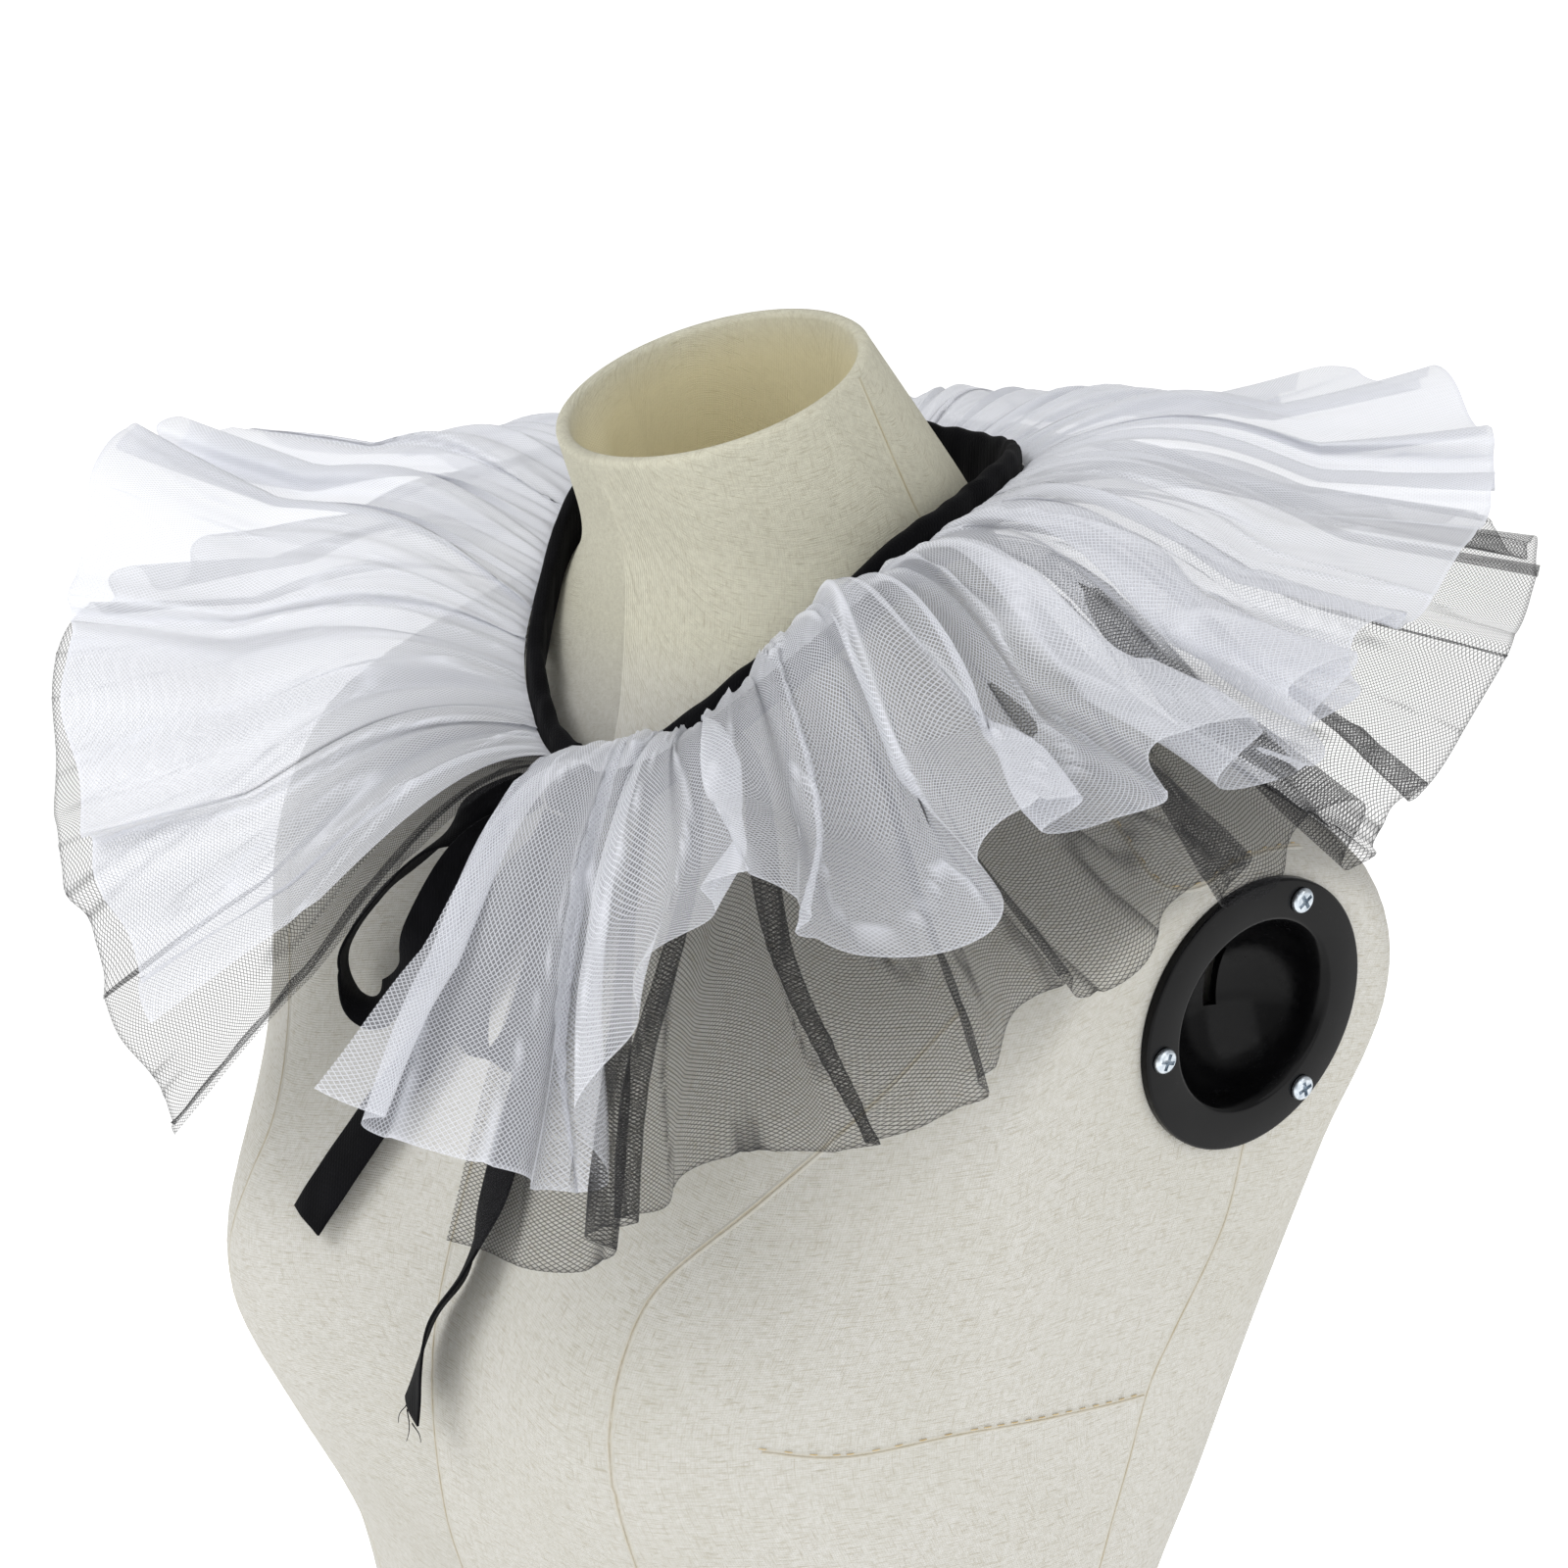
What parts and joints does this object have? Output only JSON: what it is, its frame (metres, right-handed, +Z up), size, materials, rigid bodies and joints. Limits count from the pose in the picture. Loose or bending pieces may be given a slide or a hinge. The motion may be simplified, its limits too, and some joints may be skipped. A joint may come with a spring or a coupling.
{
  "type": "ruffled tulle collar on a linen-covered dress form",
  "caption": "Two-layer gathered tulle ruff, white over black, sewn to a padded black neckband and tied in a tape bow, shown on an armless dress form.",
  "frame": {"origin": "centre of the dress form's flat underside", "axes": "+Z up, -Y the way the form faces, +X the wearer's left"},
  "size_m": [0.4566, 0.4613, 0.7094],
  "materials": {
    "linen_cover": "plain-weave cream linen, stretched over the form",
    "black_plastic": "injection moulded, semi-gloss",
    "zinc_steel": "zinc-plated pan head screws",
    "black_cotton": "matt woven cotton band and tape",
    "white_tulle": "fine net, 1 mm mesh",
    "black_tulle": "net, 1.3 mm mesh"
  },
  "bodies": {
    "root": {"dress_form": "linen_cover", "arm_socket_left": "black_plastic", "arm_socket_right": "black_plastic", "socket_screw_left_1": "zinc_steel", "socket_screw_left_2": "zinc_steel", "socket_screw_left_3": "zinc_steel", "socket_screw_right_1": "zinc_steel", "socket_screw_right_2": "zinc_steel", "socket_screw_right_3": "zinc_steel", "neck_band": "black_cotton", "tie_knot": "black_cotton", "bow_loop_right": "black_cotton", "bow_loop_left": "black_cotton", "tie_tail_right": "black_cotton", "tie_tail_left": "black_cotton", "ruffle_white": "white_tulle", "ruffle_black": "black_tulle"}
  },
  "joints": []
}
